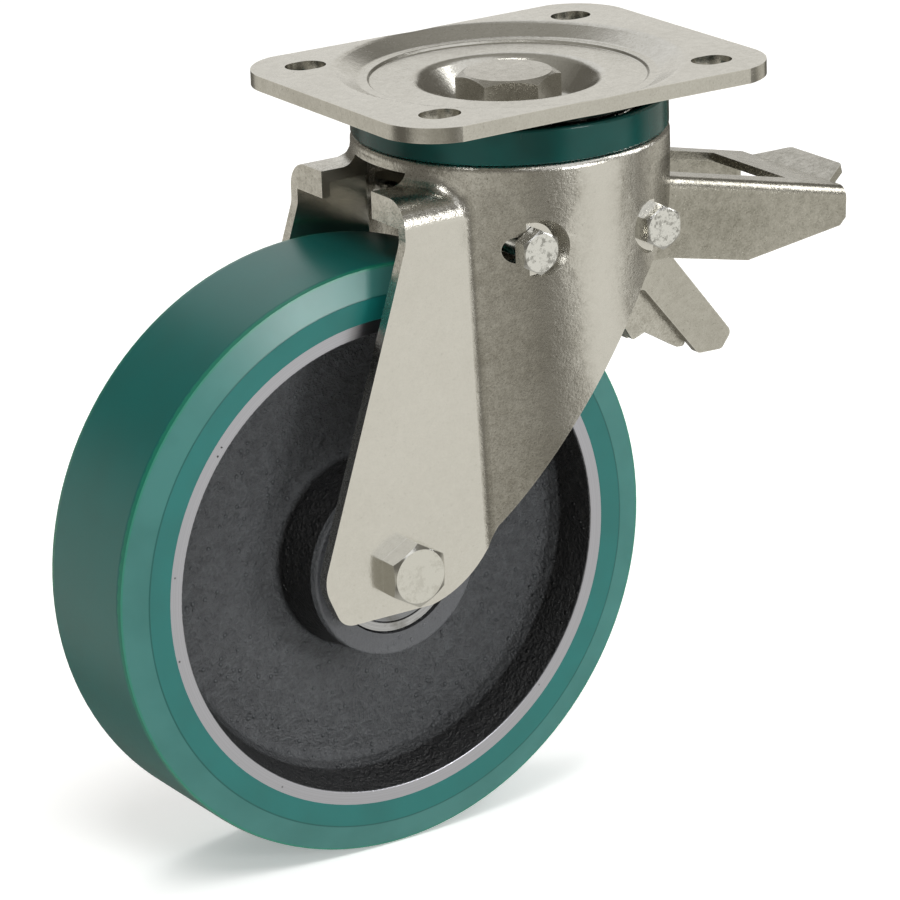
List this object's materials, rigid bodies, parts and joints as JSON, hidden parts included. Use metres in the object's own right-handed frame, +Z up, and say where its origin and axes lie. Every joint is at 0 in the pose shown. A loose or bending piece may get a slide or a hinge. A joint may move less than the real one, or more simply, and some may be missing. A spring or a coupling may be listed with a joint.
{
  "type": "swivel castor with total lock brake",
  "caption": "Heavy-duty swivel castor: dished mounting plate, pressed steel fork, cast iron wheel with moulded tyre, and a foot brake that locks wheel and swivel.",
  "frame": {"origin": "centre of the mounting plate's top face, on the swivel axis, midway between the four plate holes", "axes": "+Z up, out of the mounting plate's top face; +X towards the brake pedal along the plate's long side; Y along the wheel axle at rest"},
  "size_m": [0.2925, 0.1146, 0.2492],
  "materials": {
    "plate_steel": "satin plated",
    "kingpin_steel": "satin plated, worn top",
    "bolt_zinc": "bright zinc, speckled",
    "bare_steel": "machined",
    "ball_steel": "polished",
    "bearing_steel": "ground",
    "shield_steel": "rolled sheet",
    "seal_plastic": "glossy moulded",
    "fork_steel": "satin plated pressing",
    "pedal_steel": "satin plated pressing",
    "carriage_steel": "satin plated pressing",
    "bracket_steel": "satin plated pressing",
    "shoe_steel": "satin plated pressing",
    "wheel_iron": "grey painted sand casting, machined rim face",
    "tyre_pu": "satin moulded polyurethane"
  },
  "bodies": {
    "plate": {"top_plate": "plate_steel", "kingpin_bolt": "kingpin_steel", "kingpin_spacer": "bare_steel", "lower_race": "bare_steel", "swivel_lock_ring": "bare_steel", "kingpin_nut": "bolt_zinc"},
    "fork": {"fork": "fork_steel", "dust_seal": "seal_plastic", "upper_balls": "ball_steel", "lower_balls": "ball_steel", "axle_bolt": "bolt_zinc", "axle_nut": "bolt_zinc", "axle_tube": "bare_steel", "axle_spacer": "bare_steel", "axle_collar_near": "bare_steel", "axle_collar_far": "bare_steel", "bearing_inner_near": "bearing_steel", "bearing_inner_far": "bearing_steel", "pivot_bolt": "bolt_zinc", "pivot_nut": "bolt_zinc", "pivot_sleeve": "bare_steel"},
    "wheel": {"wheel_core": "wheel_iron", "tyre": "tyre_pu", "bearing_outer_near": "bearing_steel", "bearing_outer_far": "bearing_steel", "bearing_shield_near": "shield_steel", "bearing_shield_far": "shield_steel", "bearing_balls_near": "ball_steel", "bearing_balls_far": "ball_steel"},
    "pedal": {"brake_pedal": "pedal_steel", "cam_pin": "bare_steel"},
    "carriage": {"brake_carriage": "carriage_steel", "guide_bolt": "bolt_zinc", "guide_nut": "bolt_zinc", "shoe_bracket": "bracket_steel", "brake_shoe": "shoe_steel", "shoe_pin": "bare_steel", "adjuster_screw": "bolt_zinc", "adjuster_nut": "bolt_zinc", "lock_pawl": "bare_steel"}
  },
  "joints": [
    {"name": "swivel", "type": "hinge", "parent": "plate", "child": "fork", "pos_m": [0, 0, 0], "axis": [0, 0, 1], "continuous": true},
    {"name": "wheel_spin", "type": "hinge", "parent": "fork", "child": "wheel", "pos_m": [-0.067, 0, -0.15], "axis": [0, 1, 0], "continuous": true},
    {"name": "pedal_hinge", "type": "hinge", "parent": "fork", "child": "pedal", "pos_m": [0.025, 0, -0.049], "axis": [0, 1, 0], "range_deg": [0, 16]},
    {"name": "carriage_slide", "type": "slide", "parent": "fork", "child": "carriage", "axis": [-1, 0, 0], "range_m": [0, 0.0042]}
  ],
  "couplings": [
    {"joint": "carriage_slide", "follows": "pedal_hinge", "m_per_rad": 0.01504}
  ]
}
